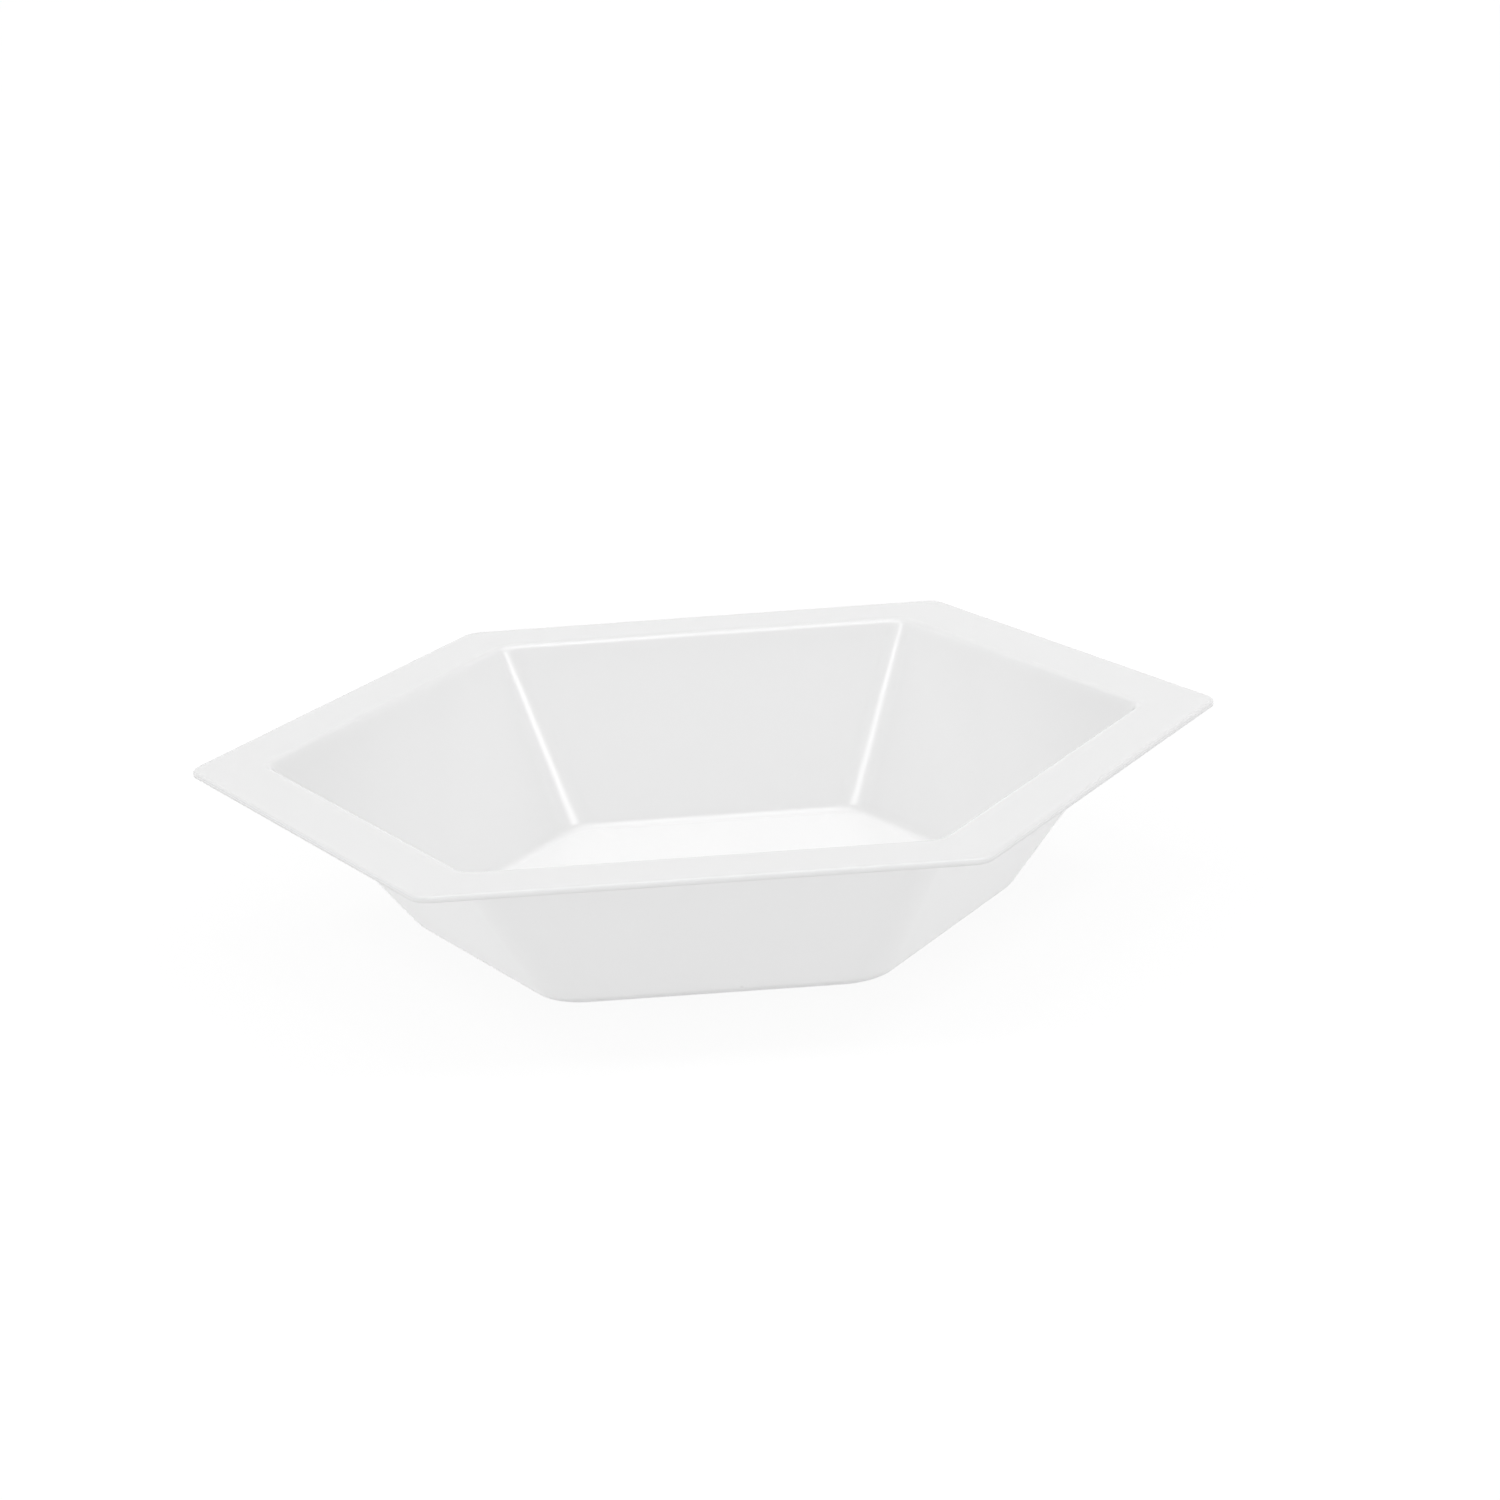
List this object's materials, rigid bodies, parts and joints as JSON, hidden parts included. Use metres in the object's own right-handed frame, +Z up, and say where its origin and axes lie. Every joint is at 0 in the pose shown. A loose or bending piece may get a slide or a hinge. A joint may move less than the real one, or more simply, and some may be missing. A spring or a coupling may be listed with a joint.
{
  "type": "weighing boat",
  "caption": "Small white hexagonal weighing boat with a flat narrow rim, sloping walls and a flat floor, thermoformed as one piece from thin polystyrene sheet",
  "frame": {"origin": "on the underside of the floor, in the middle of the boat, where it stands on a surface", "axes": "+Z up out of the open well, +X through two opposite corners of the rim, +Y square to two opposite sides of the rim"},
  "size_m": [0.053, 0.0462, 0.0094],
  "materials": {
    "polystyrene": "satin, faintly translucent white"
  },
  "bodies": {
    "root": {"weighing_boat": "polystyrene"}
  },
  "joints": []
}
